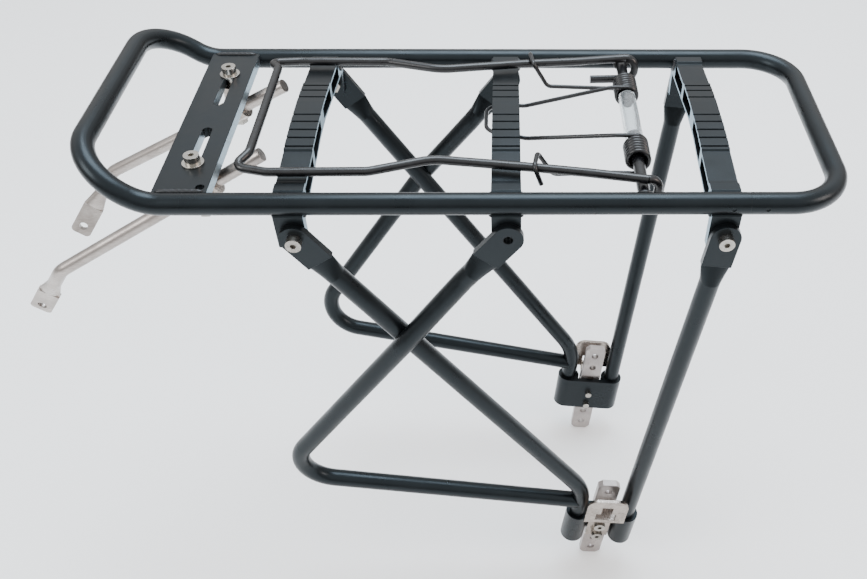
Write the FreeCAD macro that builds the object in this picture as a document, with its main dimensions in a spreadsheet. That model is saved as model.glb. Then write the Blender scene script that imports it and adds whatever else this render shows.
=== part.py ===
import FreeCAD, Part
import math
import os
import Sketcher
from FreeCAD import Placement, Rotation, Vector

# Bicycle rear carrier. +X points to the back of the bicycle, -Y is its left side, +Z is up.
# The origin is on the carrier's centre plane, above the middle cross-bar, at the height of the side tubes' axes.

# Driving dimensions: alias, value in millimetres or degrees, meaning.
SIZES = [
    ("tube_dia", 12.0, "outside diameter of deck tubes and legs"),
    ("weld_gap", 0.25, "gap that the weld fills round the middle leg's coped end"),
    ("tube_wall", 1.5, "wall of deck tubes and legs"),
    ("deck_width", 156.0, "between the side tubes' axes"),
    ("deck_front", 222.4, "front cross tube ahead of the middle bar"),
    ("deck_rear", 182.0, "rear cross tube behind the middle bar"),
    ("deck_kink", 190.0, "upward bend of the side tubes ahead of the middle bar"),
    ("deck_rise", 23.0, "height of the front cross tube"),
    ("corner_bend", 30.0, "bend radius of the deck corners"),
    ("kink_bend", 28.0, "bend radius of the upward bend"),
    ("joint_back", 129.0, "where the two deck tubes meet"),
    ("ferrule_len", 36.0, "length of the ferrules in the deck joints"),
    ("crimp_depth", 0.5, "depth of the crimp dents"),
    ("plate_ahead", 157.0, "rear edge of the front plate ahead of the middle bar"),
    ("plate_long", 29.0, "length of the front plate along the deck"),
    ("plate_thick", 6.0, "thickness of the front plate"),
    ("plate_top", 5.0, "top of the front plate above the tube axes"),
    ("plate_slot_long", 39.5, "overall length of a plate slot"),
    ("plate_slot_wide", 5.8, "width of a plate slot"),
    ("plate_slot_mid", 31.75, "middle of a plate slot from the centre plane"),
    ("plate_slot_set", 13.0, "plate slots ahead of the plate's rear edge"),
    ("plate_hole", 5.0, "small hole near the plate's corner"),
    ("bar_long", 16.0, "length of a cross-bar along the deck"),
    ("bar_front", 115.0, "front cross-bar ahead of the middle bar"),
    ("bar_rear", 117.0, "rear cross-bar behind the middle bar"),
    ("bar_crown", 8.0, "top of a cross-bar at the centre plane"),
    ("bar_shoulder", 6.3, "top of a cross-bar at its step"),
    ("bar_skin", 1.6, "wall of a cross-bar"),
    ("groove_wide", 1.4, "width of the grip grooves"),
    ("groove_deep", 0.7, "depth of the grip grooves"),
    ("ear_drop", 26.0, "bottom of the cross-bar ears below the tube axes"),
    ("leg_lean", 3.03, "inward lean of the leg planes in degrees"),
    ("leg_out", 84.5, "leg plane from the centre plane at the leg screws"),
    ("leg_screw_down", 18.0, "leg screws below the tube axes"),
    ("head_wide", 17.0, "width of the flattened leg tops"),
    ("head_thick", 4.0, "thickness of the flattened leg tops"),
    ("head_long", 20.0, "flattened length below the leg screw"),
    ("head_taper", 12.0, "length of the change from flat to round"),
    ("screw_dia", 5.0, "thread diameter of every screw"),
    ("screw_room", 0.3, "clearance on diameter of the screw holes"),
    ("cap_dia", 8.5, "diameter of the socket heads"),
    ("cap_high", 4.6, "height of the socket heads"),
    ("hex_wide", 3.0, "across flats of the socket"),
    ("nut_wide", 8.0, "across flats of the nuts"),
    ("nut_high", 4.0, "height of the nuts"),
    ("foot_down", 274.4, "foot bracket origin below the leg screws, along the leg plane"),
    ("foot_back", 71.0, "foot bracket origin behind the middle bar"),
    ("foot_tilt", 5.95, "forward tilt of the foot brackets in degrees"),
    ("socket_pitch", 36.8, "between the axes of the two sockets"),
    ("socket_dia", 17.5, "outside diameter of the sockets"),
    ("socket_long", 31.0, "length of the foot brackets"),
    ("socket_room", 0.1, "clearance on diameter of the tubes in the sockets"),
    ("web_thick", 4.0, "thickness of the bracket web"),
    ("web_set", 8.75, "back of the bracket web inboard of the socket axes"),
    ("strip_wide", 16.0, "width of the foot strips"),
    ("strip_thick", 5.0, "thickness of the foot strips"),
    ("strip_end", 8.5, "end of a foot strip past its last hole"),
    ("hole_pitch", 13.0, "pitch of the foot strip holes"),
    ("hole_count", 7, "number of foot strip holes"),
    ("hole_dia", 5.5, "diameter of the foot strip holes"),
    ("foot_screw_down", 13.0, "upper foot screw below the bracket's top"),
    ("tee_thick", 2.5, "thickness of the accessory plates"),
    ("tee_wide", 30.0, "width of the accessory plate's head"),
    ("tee_high", 27.0, "height of the accessory plate's head"),
    ("tee_base", 2.5, "bottom of the accessory plate's head above the bracket"),
    ("tee_gap", 0.4, "clearance of the accessory plate over the sockets"),
    ("tee_tab", 17.0, "width of the accessory plate's tab"),
    ("rod_dia", 8.0, "diameter of the stays"),
    ("rod_room", 0.1, "clearance on diameter of the stays in their clamps"),
    ("rod_spread", 40.9, "stay axis from the centre plane at the slot screws"),
    ("rod_drop", 15.75, "stay axis below the tube axes at the slot screws"),
    ("rod_slope", 29.0, "downward slope of the stays in degrees"),
    ("rod_toe", 6.1, "outward toe of the stays in degrees"),
    ("rod_back", 40.0, "stay length behind the slot screws"),
    ("rod_ahead", 109.0, "stay length ahead of the slot screws to its bend"),
    ("rod_tip_long", 46.0, "length of the flattened stay end"),
    ("rod_tip_wide", 13.0, "width of the flattened stay end"),
    ("rod_tip_thick", 4.0, "thickness of the flattened stay end"),
    ("clamp_out", 48.0, "slot screws from the centre plane"),
    ("boss_dia", 13.0, "diameter of the stay clamp's boss"),
    ("boss_low", 24.0, "bottom of the stay clamp below the tube axes"),
    ("eye_dia", 14.5, "outside diameter of the stay clamp's eye"),
    ("eye_long", 16.0, "length of the stay clamp's eye"),
    ("clamp_gap", 0.3, "play of the stay clamp under the plate"),
    ("washer_dia", 12.0, "diameter of the slot screw washers"),
    ("washer_thick", 1.0, "thickness of the slot screw washers"),
    ("axle_back", 74.0, "clamp axle behind the middle bar"),
    ("axle_dia", 6.8, "diameter of the clamp axle stubs"),
    ("sleeve_dia", 10.5, "outside diameter of the clear sleeve"),
    ("sleeve_room", 0.1, "clearance on diameter of the sleeve on the stubs"),
    ("spring_wire", 2.5, "wire diameter of the spring"),
    ("spring_mean", 12.3, "mean diameter of the spring coils"),
    ("spring_turns", 6.5, "turns in each coil"),
    ("spring_pitch", 2.6, "pitch of the coils"),
    ("bail_wire", 5.0, "wire diameter of the bail"),
    ("bail_room", 0.1, "clearance on diameter of the bail's eyes on the stubs"),
]


class Size:
    """A number that carries the sheet expression it comes from."""

    def __init__(self, value, text):
        self.value = float(value)
        self.text = text

    def _join(self, other, sign, result):
        text = other.text if isinstance(other, Size) else repr(float(other))
        return Size(result, "(%s %s %s)" % (self.text, sign, text))

    def __add__(self, other):
        return self._join(other, "+", self.value + float(other))

    def __radd__(self, other):
        return self + other

    def __sub__(self, other):
        return self._join(other, "-", self.value - float(other))

    def __rsub__(self, other):
        return Size(float(other) - self.value, "(%r - %s)" % (float(other), self.text))

    def __mul__(self, other):
        return self._join(other, "*", self.value * float(other))

    def __rmul__(self, other):
        return self * other

    def __truediv__(self, other):
        return self._join(other, "/", self.value / float(other))

    def __neg__(self):
        return Size(-self.value, "(0 - %s)" % self.text)

    def __float__(self):
        return self.value


doc = FreeCAD.newDocument("RearCarrier")
sheet = doc.addObject("Spreadsheet::Sheet", "Sizes")
S = {}
for row, (alias, value, meaning) in enumerate(SIZES, start=1):
    sheet.set("A%d" % row, alias)
    sheet.set("B%d" % row, str(value))
    sheet.set("C%d" % row, meaning)
    sheet.setAlias("B%d" % row, alias)
    S[alias] = Size(value, "Sizes.%s" % alias)
doc.recompute()

NODES = []


def name_node(obj, label):
    """Give a finished sub-part its node name."""
    obj.Label = label
    NODES.append(obj)
    return obj


def drive(obj, prop, size):
    """Set a property, and bind it to the sheet when the size comes from there."""
    if isinstance(size, Size):
        obj.setExpression(prop, size.text)
        return
    setattr(obj, prop, size)


def vec(x, y, z):
    return Vector(float(x), float(y), float(z))


def move(obj, placement):
    obj.Placement = placement
    return obj


def box(name, corner, sizes):
    """A box from its low corner and its three sizes."""
    obj = doc.addObject("Part::Box", name)
    for prop, size in zip(("Length", "Width", "Height"), sizes):
        drive(obj, prop, size)
    for axis, value in zip("xyz", corner):
        if isinstance(value, Size):
            obj.setExpression("Placement.Base.%s" % axis, value.text)
        else:
            setattr(obj.Placement.Base, axis, value)
    base = vec(*corner)
    obj.Placement = Placement(base, Rotation())
    for axis, value in zip("xyz", corner):
        if isinstance(value, Size):
            obj.setExpression("Placement.Base.%s" % axis, value.text)
    return obj


TURN = {
    "x": Rotation(Vector(0, 1, 0), 90),
    "y": Rotation(Vector(1, 0, 0), -90),
    "z": Rotation(),
}


def rod(name, start, axis, radius, length):
    """A cylinder from a start point along +X, +Y or +Z."""
    obj = doc.addObject("Part::Cylinder", name)
    drive(obj, "Radius", radius)
    drive(obj, "Height", length)
    obj.Placement = Placement(vec(*start), TURN[axis])
    for letter, value in zip("xyz", start):
        if isinstance(value, Size):
            obj.setExpression("Placement.Base.%s" % letter, value.text)
    return obj


def fuse(name, shapes):
    obj = doc.addObject("Part::MultiFuse", name)
    obj.Shapes = shapes
    obj.Refine = True
    return obj


def cut(name, base, tool):
    obj = doc.addObject("Part::Cut", name)
    obj.Base = base
    obj.Tool = tool
    obj.Refine = True
    return obj


def common(name, base, tool):
    obj = doc.addObject("Part::Common", name)
    obj.Base = base
    obj.Tool = tool
    return obj


def group(label, parts):
    """Several separate solids under one node name."""
    obj = doc.addObject("Part::Compound", label + "_set")
    obj.Links = parts
    return name_node(obj, label)


def rounded_edges(points, radii):
    """Straight runs joined by tangent arcs through a list of corner points."""
    edges = []
    here = points[0]
    for index in range(1, len(points) - 1):
        corner = points[index]
        before = (corner - points[index - 1]).normalize()
        after = (points[index + 1] - corner).normalize()
        turn = before.getAngle(after)
        reach = radii[index - 1] * math.tan(turn / 2)
        first = corner - before * reach
        last = corner + after * reach
        inward = (after - before).normalize()
        centre = corner + inward * (radii[index - 1] / math.cos(turn / 2))
        middle = centre - inward * radii[index - 1]
        edges.append(Part.makeLine(here, first))
        edges.append(Part.Arc(first, middle, last).toShape())
        here = last
    edges.append(Part.makeLine(here, points[-1]))
    return edges


def sweep(name, edges, start, heading, radius):
    """A round bar along a path; its radius is bound to the sheet."""
    path = doc.addObject("Part::Feature", name + "_path")
    path.Shape = Part.Wire(edges)
    ring = doc.addObject("Part::Circle", name + "_ring")
    drive(ring, "Radius", radius)
    ring.Placement = Placement(start, Rotation(Vector(0, 0, 1), heading))
    obj = doc.addObject("Part::Sweep", name)
    obj.Sections = [ring]
    obj.Spine = (path, ["Edge%d" % (i + 1) for i in range(len(edges))])
    obj.Solid = True
    obj.Frenet = False
    return obj


def bent_bar(name, points, radii, radius):
    edges = rounded_edges(points, radii)
    return sweep(name, edges, points[0], points[1] - points[0], radius)


def bent_tube(name, points, radii, radius, wall):
    """A hollow bent tube, open at both ends."""
    outer = bent_bar(name + "_outer", points, radii, radius)
    inner = bent_bar(name + "_inner", points, radii, radius - wall)
    return cut(name, outer, inner)


def flat_sketch(body, role, name, shift=None):
    """A sketch on one of the body's own origin planes."""
    sketch = body.newObject("Sketcher::SketchObject", name)
    plane = [f for f in body.Origin.OriginFeatures if f.Role == role][0]
    sketch.AttachmentSupport = (plane, [""])
    sketch.MapMode = "FlatFace"
    if shift is not None:
        drive(sketch, "AttachmentOffset.Base.z", shift) if isinstance(shift, Size) else None
    return sketch


def pin_point(sketch, geometry, vertex, x, y, tag):
    """Hold a sketch point at a distance from the origin, from the sheet where it can be."""
    for kind, value, line in (("DistanceX", x, -2), ("DistanceY", y, -1)):
        if abs(float(value)) < 1e-9:
            sketch.addConstraint(Sketcher.Constraint("PointOnObject", geometry, vertex, line))
            continue
        index = sketch.addConstraint(
            Sketcher.Constraint(kind, -1, 1, geometry, vertex, float(value)))
        if isinstance(value, Size):
            sketch.renameConstraint(index, "%s_%s" % (tag, kind[-1].lower()))
            sketch.setExpression("Constraints.%s_%s" % (tag, kind[-1].lower()), value.text)


def outline(sketch, points, tag):
    """A closed polygon with every corner held."""
    count = len(points)
    first = sketch.GeometryCount
    for index in range(count):
        a = points[index]
        b = points[(index + 1) % count]
        sketch.addGeometry(Part.LineSegment(vec(a[0], a[1], 0), vec(b[0], b[1], 0)), False)
    for index in range(count):
        following = first + (index + 1) % count
        sketch.addConstraint(Sketcher.Constraint("Coincident", first + index, 2, following, 1))
    for index, (x, y) in enumerate(points):
        pin_point(sketch, first + index, 1, x, y, "%s%d" % (tag, index))


def ring(sketch, x, y, diameter, tag):
    """A circle with its centre and diameter held."""
    index = sketch.GeometryCount
    circle = Part.Circle(vec(x, y, 0), Vector(0, 0, 1), float(diameter) / 2)
    sketch.addGeometry(circle, False)
    pin_point(sketch, index, 3, x, y, tag)
    number = sketch.addConstraint(Sketcher.Constraint("Diameter", index, float(diameter)))
    if isinstance(diameter, Size):
        sketch.renameConstraint(number, tag + "_dia")
        sketch.setExpression("Constraints.%s_dia" % tag, diameter.text)
    return index


def pad(body, sketch, length, midplane=True, reverse=False):
    feature = body.newObject("PartDesign::Pad", sketch.Name + "_pad")
    feature.Profile = sketch
    feature.Midplane = midplane
    feature.Reversed = reverse
    drive(feature, "Length", length)
    sketch.Visibility = False
    return feature


def pocket(body, sketch):
    feature = body.newObject("PartDesign::Pocket", sketch.Name + "_pocket")
    feature.Profile = sketch
    feature.Type = "ThroughAll"
    feature.Midplane = True
    sketch.Visibility = False
    return feature


half_deck = S["deck_width"] / 2
tube_r = S["tube_dia"] / 2
screw_r = S["screw_dia"] / 2
passage_r = (S["screw_dia"] + S["screw_room"]) / 2

# ---------------------------------------------------------------- deck loop
front_points = [
    vec(S["joint_back"], -half_deck, 0),
    vec(-S["deck_kink"], -half_deck, 0),
    vec(-S["deck_front"], -half_deck, S["deck_rise"]),
    vec(-S["deck_front"], half_deck, S["deck_rise"]),
    vec(-S["deck_kink"], half_deck, 0),
    vec(S["joint_back"], half_deck, 0),
]
corner = float(S["corner_bend"])
kink = float(S["kink_bend"])
front_loop = bent_tube("deck_front", front_points, [kink, corner, corner, kink], tube_r, S["tube_wall"])
rear_points = [
    vec(S["joint_back"], -half_deck, 0),
    vec(S["deck_rear"], -half_deck, 0),
    vec(S["deck_rear"], half_deck, 0),
    vec(S["joint_back"], half_deck, 0),
]
rear_loop = bent_tube("deck_rear", rear_points, [corner, corner], tube_r, S["tube_wall"])


def crimps(name, distance):
    """Small round dents in the outside of both side tubes at a joint."""
    dents = []
    for side in (-1, 1):
        dent = rod("%s_%d" % (name, side + 1), (distance, side * (half_deck + tube_r) - 5, 0), "y", 1.2, 10)
        keep = rod("%s_keep_%d" % (name, side + 1), (distance - 3, side * half_deck, 0), "x",
                   tube_r - S["crimp_depth"], 6)
        dents.append(cut("%s_dent_%d" % (name, side + 1), dent, keep))
    return fuse(name + "_dents", dents)


name_node(cut("deck_front_crimped", front_loop, crimps("crimp_front", S["joint_back"] - 9)), "deck_front_tube")
name_node(cut("deck_rear_crimped", rear_loop, crimps("crimp_rear", S["joint_back"] + 9)), "deck_rear_tube")
group("deck_joint_ferrules", [
    rod("ferrule_%d" % (side + 1), (S["joint_back"] - S["ferrule_len"] / 2, side * half_deck, 0), "x",
        tube_r - S["tube_wall"], S["ferrule_len"])
    for side in (-1, 1)])


def side_tube(name, x_low, length):
    """Both side tubes as full round bars, to shape what is welded to them."""
    return fuse(name, [
        rod("%s_%d" % (name, side + 1), (x_low, side * half_deck, 0), "x", tube_r, length)
        for side in (-1, 1)])


# ---------------------------------------------------------------- front plate
plate_mid = -S["plate_ahead"] - S["plate_slot_set"]
plate_blank = box("plate_blank",
                  (-S["plate_ahead"] - S["plate_long"], -half_deck, S["plate_top"] - S["plate_thick"]),
                  (S["plate_long"], S["deck_width"], S["plate_thick"]))
plate_cuts = [doc.getObject("deck_front_outer")]
slot_reach = S["plate_slot_long"] / 2 - S["plate_slot_wide"] / 2
for side in (-1, 1):
    middle = side * S["plate_slot_mid"]
    plate_cuts.append(box("plate_slot_%d" % (side + 1),
                          (plate_mid - S["plate_slot_wide"] / 2, middle - slot_reach, -10),
                          (S["plate_slot_wide"], slot_reach * 2, 30)))
    for end in (-1, 1):
        plate_cuts.append(rod("plate_slot_end_%d_%d" % (side + 1, end + 1),
                              (plate_mid, middle + end * slot_reach, -10), "z",
                              S["plate_slot_wide"] / 2, 30))
plate_cuts.append(rod("plate_corner_hole", (-S["plate_ahead"] - 4.5, 8 - half_deck, -10), "z",
                      S["plate_hole"] / 2, 30))
name_node(cut("plate", plate_blank, fuse("plate_cuts", plate_cuts)), "front_plate")

# ---------------------------------------------------------------- cross-bars
lean = math.radians(float(S["leg_lean"]))
ear_face = float(S["leg_out"]) - float(S["head_thick"]) / 2 * math.cos(lean)
ear_face_z = -float(S["leg_screw_down"]) + float(S["head_thick"]) / 2 * math.sin(lean)


def ear_y(height):
    """Outer face of an ear at a height: it lies flat against the leg top."""
    return ear_face + (height - ear_face_z) * math.tan(lean)


def crown_at(distance):
    """Top of the cross-bar's arch at a distance from the centre plane."""
    share = (distance / 35.0) ** 2
    return S["bar_crown"] - (S["bar_crown"] - S["bar_shoulder"]) * share


def mirrored(points):
    """A profile's right half, from bottom centre round to top centre, with its mirror."""
    return points + [(-x if not isinstance(x, Size) else -x, y) for x, y in reversed(points)]


GRIPS = (32.5, 26.0, 17.5, -2.5, -10.0, -18.0, -25.6, -33.5)


LEG_X = (2 - S["bar_front"], 1.0, S["bar_rear"] + 1)


def cross_bar(label, x, screw_x):
    """One extruded bar: arched top, two pairs of cells, seats for the side tubes, and ears."""
    body = doc.addObject("PartDesign::Body", label + "_body")
    half = [
        (10.0, -2.4),
        (half_deck - 12, -8.8),
        (half_deck - 1, -10.0),
        (half_deck - 1, -S["ear_drop"]),
        (ear_y(-float(S["ear_drop"])), -S["ear_drop"]),
        (ear_y(-5.0), -5.0),
        (half_deck, -1.0),
        (half_deck - 4.5, 3.6),
        (half_deck - 6, 4.5),
        (half_deck - 12, 4.5),
        (half_deck - 13.5, 3.3),
        (half_deck - 16, 3.2),
        (37.0, 5.2),
        (36.0, crown_at(35) * 1.0),
        (24.0, crown_at(24)),
        (12.0, crown_at(12)),
    ]
    profile = flat_sketch(body, "YZ_Plane", label + "_profile")
    outline(profile, mirrored(half), "p")
    pad(body, profile, S["bar_long"])
    cells = flat_sketch(body, "YZ_Plane", label + "_cells")
    skin = S["bar_skin"]
    for side in (-1, 1):
        inner = [(side * 6.0, -0.2), (side * 6.0, crown_at(6) - skin),
                 (side * 20.0, crown_at(20) - skin), (side * 33.5, crown_at(33.5) - skin - 0.2),
                 (side * 33.5, -5.6 + skin)]
        outer = [(side * 39.0, -6.1 + skin), (side * 39.0, 5.1 - skin),
                 (side * (half_deck - 15), 3.2 - skin), (side * (half_deck - 11), 3.2 - skin),
                 (side * (half_deck - 11), -8.9 + skin)]
        if side < 0:
            inner.reverse()
            outer.reverse()
        outline(cells, inner, "i%d_" % (side + 1))
        outline(cells, outer, "o%d_" % (side + 1))
    pocket(body, cells)
    seats = flat_sketch(body, "YZ_Plane", label + "_seats")
    for side in (-1, 1):
        ring(seats, side * half_deck, 0, S["tube_dia"], "s%d" % (side + 1))
    pocket(body, seats)
    grooves = flat_sketch(body, "YZ_Plane", label + "_grooves")
    for index, place in enumerate(GRIPS):
        top = float(crown_at(place))
        wide = float(S["groove_wide"]) / 2
        low = top - S["groove_deep"]
        outline(grooves, [(place - wide, low), (place + wide, low), (place + wide, top + 2),
                          (place - wide, top + 2)], "g%d_" % index)
    pocket(body, grooves)
    body.Placement = Placement(vec(x, 0, 0), Rotation())
    holes = []
    for side in (-1, 1):
        hole = rod("%s_hole_%d" % (label, side + 1), (0, 0, 0), "y", passage_r, 30)
        hole.Placement = leg_frame(side).multiply(Placement(vec(screw_x, -15, 0), TURN["y"]))
        holes.append(hole)
    return name_node(cut(label + "_drilled", body, fuse(label + "_holes", holes)), label)


def leg_frame(side):
    """The leaning plane of one side's legs: X back, Y outward times the side, Z up the plane."""
    turn = Rotation(Vector(1, 0, 0), -side * float(S["leg_lean"]))
    return Placement(vec(0, side * float(S["leg_out"]), -S["leg_screw_down"]), turn)


cross_bar("front_crossbar", -S["bar_front"], LEG_X[0])
cross_bar("middle_crossbar", 0.0, LEG_X[1])
cross_bar("rear_crossbar", S["bar_rear"], LEG_X[2])

# ---------------------------------------------------------------- legs
tilt = math.radians(float(S["foot_tilt"]))


def foot_point(u, n, v, side):
    """A point of the foot bracket in the leg plane."""
    x = float(S["foot_back"]) + u * math.cos(tilt) + v * math.sin(tilt)
    z = -float(S["foot_down"]) - u * math.sin(tilt) + v * math.cos(tilt)
    return Vector(x, n * side, z)


def leg_head(name, x, heading):
    """A flattened, drilled top that changes to round, with its own downward direction."""
    wide = S["head_wide"]
    thick = S["head_thick"]
    blank = box(name + "_flat", (-wide / 2, -thick / 2, -S["head_long"]), (wide, thick, S["head_long"]))
    top = rod(name + "_round", (0, -thick / 2, 0), "y", wide / 2, thick)
    oval = doc.addObject("Part::Ellipse", name + "_oval")
    drive(oval, "MajorRadius", wide / 2)
    drive(oval, "MinorRadius", thick / 2)
    oval.Placement = Placement(vec(0, 0, -S["head_long"]), Rotation())
    oval.setExpression("Placement.Base.z", (-S["head_long"]).text)
    circle = doc.addObject("Part::Circle", name + "_circle")
    drive(circle, "Radius", tube_r)
    low = -S["head_long"] - S["head_taper"]
    circle.Placement = Placement(vec(0, 0, low), Rotation())
    circle.setExpression("Placement.Base.z", low.text)
    taper = doc.addObject("Part::Loft", name + "_taper")
    taper.Sections = [oval, circle]
    taper.Solid = True
    taper.Ruled = True
    solid = fuse(name + "_blank", [blank, top, taper])
    hole = rod(name + "_hole", (0, -10, 0), "y", passage_r, 20)
    head = cut(name, solid, hole)
    down = Vector(heading.x, 0, heading.z).normalize()
    angle = math.degrees(math.atan2(-down.x, -down.z))
    head.Placement = Placement(vec(x, 0, 0), Rotation(Vector(0, 1, 0), angle))
    return head, vec(x, 0, 0) + down * (float(S["head_long"]) + float(S["head_taper"]))


def leg(label, side, head, tube, extra_cut=None):
    """Join a head and a tube, cut what crosses it, and lean it into its plane."""
    joined = fuse(label + "_joined", [head, tube])
    if extra_cut is not None:
        joined = cut(label + "_notched", joined, extra_cut)
    joined.Placement = leg_frame(side)
    return name_node(joined, label)


for side, word in ((-1, "left"), (1, "right")):
    pitch = float(S["socket_pitch"]) / 2
    deep = 1.5 - float(S["socket_long"])
    # rear leg: straight, from the rear bar to the rear socket
    top = vec(LEG_X[2], 0, 0)
    end = foot_point(pitch, 0, deep, side)
    head, start = leg_head("rear_head_" + word, top.x, end - top)
    straight = bent_tube("rear_tube_" + word, [start, end], [], tube_r, S["tube_wall"])
    leg("rear_leg_" + word, side, head, straight)

    # front leg: slants back, then bends into the front socket
    top = vec(LEG_X[0], 0, 0)
    end = foot_point(-pitch, 0, deep, side)
    bend = foot_point(-pitch, 0, 27.5, side)
    head, start = leg_head("front_head_" + word, top.x, bend - top)
    front_path = [start, bend, end]
    front_tube = bent_tube("front_tube_" + word, front_path, [40.0], tube_r, S["tube_wall"])
    front_head = head

    # middle leg: passes outside the front leg, turns, and comes back to it
    top = vec(LEG_X[1], 0, 0)
    along = bend - vec(LEG_X[0], 0, 0)
    cross = vec(LEG_X[0], 0, 0) + along * 0.312
    over = Vector(cross.x, 7.0 * side, cross.z)
    head, start = leg_head("middle_head_" + word, top.x, cross - top)
    lead = start + (cross - top).normalize() * 8
    corner_point = Vector(-159.0, 4.0 * side, -214.0)
    finish = bend + (end - bend).normalize() * 14
    middle_path = [start, lead, over, corner_point, finish]
    middle_radii = [30.0, 60.0, 25.0]
    # its bore stops short of the coped end, which is closed
    bore_end = finish - (finish - corner_point).normalize() * 30
    middle_outer = bent_bar("middle_outer_" + word, middle_path, middle_radii, tube_r)
    middle_inner = bent_bar("middle_inner_" + word, middle_path[:-1] + [bore_end], middle_radii,
                            tube_r - S["tube_wall"])
    middle_tube = cut("middle_tube_" + word, middle_outer, middle_inner)

    # the front leg is notched where the middle leg crosses it; the middle leg is coped to the front leg
    crosser = bent_bar("middle_solid_" + word, middle_path, middle_radii, tube_r)
    window = box("notch_window_" + word, (cross.x - 40, -30, cross.z - 40), (80, 60, 80))
    notch = common("notch_tool_" + word, crosser, window)
    leg("front_leg_" + word, side, front_head, front_tube, notch)
    if side > 0:
        twin = doc.addObject("Part::Mirroring", "middle_leg_twin")
        twin.Source = doc.getObject("middle_leg_left_notched")
        twin.Normal = Vector(0, 1, 0)
        name_node(twin, "middle_leg_right")
        continue
    full = bent_bar("front_solid_" + word, front_path, [40.0], tube_r + S["weld_gap"])
    low_window = box("cope_window_" + word, (0, -30, -330), (120, 60, 150))
    cope = common("cope_tool_" + word, full, low_window)
    leg("middle_leg_" + word, side, head, middle_tube, cope)

# ---------------------------------------------------------------- feet
web_face = S["web_thick"] - S["web_set"]
strip_face = web_face + S["strip_thick"]
tee_face = strip_face + S["tee_thick"]
tee_out = S["socket_dia"] / 2 + S["tee_gap"]
FOOT_SCREWS = (-S["foot_screw_down"], -S["foot_screw_down"] - S["hole_pitch"])


def foot_frame(side):
    """The frame of one foot bracket: X along its sockets, Z up their axes."""
    local = Placement(vec(S["foot_back"], 0, -S["foot_down"]),
                      Rotation(Vector(0, 1, 0), float(S["foot_tilt"])))
    return leg_frame(side).multiply(local)


def between(side, low, high):
    """Order two outward distances for a box or rod on one side."""
    return low if side > 0 else -high


def bracket(side, word):
    """Twin socket with a web, both from one extruded section."""
    long = S["socket_long"]
    pitch = S["socket_pitch"] / 2
    name = "bracket_" + word
    solids = []
    bores = []
    for end in (-1, 1):
        solids.append(rod("%s_socket_%d" % (name, end + 1), (end * pitch, 0, -long), "z",
                          S["socket_dia"] / 2, long))
        bores.append(rod("%s_bore_%d" % (name, end + 1), (end * pitch, 0, -long - 5), "z",
                         (S["tube_dia"] + S["socket_room"]) / 2, long + 10))
    low = between(side, -S["web_set"], web_face)
    solids.append(box(name + "_web", (-pitch, low, -long), (pitch * 2, S["web_thick"], long)))
    for index, height in enumerate(FOOT_SCREWS):
        bores.append(rod("%s_tap_%d" % (name, index), (0, -20, height), "y", screw_r, 40))
    shape = cut(name, fuse(name + "_blank", solids), fuse(name + "_bores", bores))
    shape.Placement = foot_frame(side)
    return name_node(shape, "foot_bracket_" + word)


def strip(side, word):
    """Flat strip with a row of holes; two of them take the foot screws."""
    name = "foot_strip_" + word
    top_hole = FOOT_SCREWS[0] + 3 * S["hole_pitch"]
    long = S["strip_end"] * 2 + S["hole_pitch"] * (S["hole_count"] - 1)
    high = top_hole + S["strip_end"]
    body = doc.addObject("PartDesign::Body", name + "_body")
    face = flat_sketch(body, "XZ_Plane", name + "_outline")
    wide = S["strip_wide"] / 2
    nip = 3.0
    low = high - long
    outline(face, [(nip - wide, low), (wide - nip, low), (wide, low + nip), (wide, high - nip),
                   (wide - nip, high), (nip - wide, high), (-wide, high - nip), (-wide, low + nip)], "p")
    pad(body, face, S["strip_thick"])
    drill = flat_sketch(body, "XZ_Plane", name + "_drill")
    ring(drill, 0, top_hole, S["hole_dia"], "top")
    first = pocket(body, drill)
    body.Tip = first
    row = body.newObject("PartDesign::LinearPattern", name + "_row")
    row.Originals = [first]
    row.Direction = (drill, ["V_Axis"])
    row.Reversed = True
    row.Length = float(S["hole_pitch"]) * (float(S["hole_count"]) - 1)
    row.setExpression("Length", (S["hole_pitch"] * (S["hole_count"] - 1)).text)
    row.Occurrences = int(float(S["hole_count"]))
    row.setExpression("Occurrences", "Sizes.hole_count")
    body.Tip = row
    middle = side * (float(web_face) + float(S["strip_thick"]) / 2)
    body.Placement = foot_frame(side).multiply(Placement(Vector(0, middle, 0), Rotation()))
    return name_node(body, name)


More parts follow.
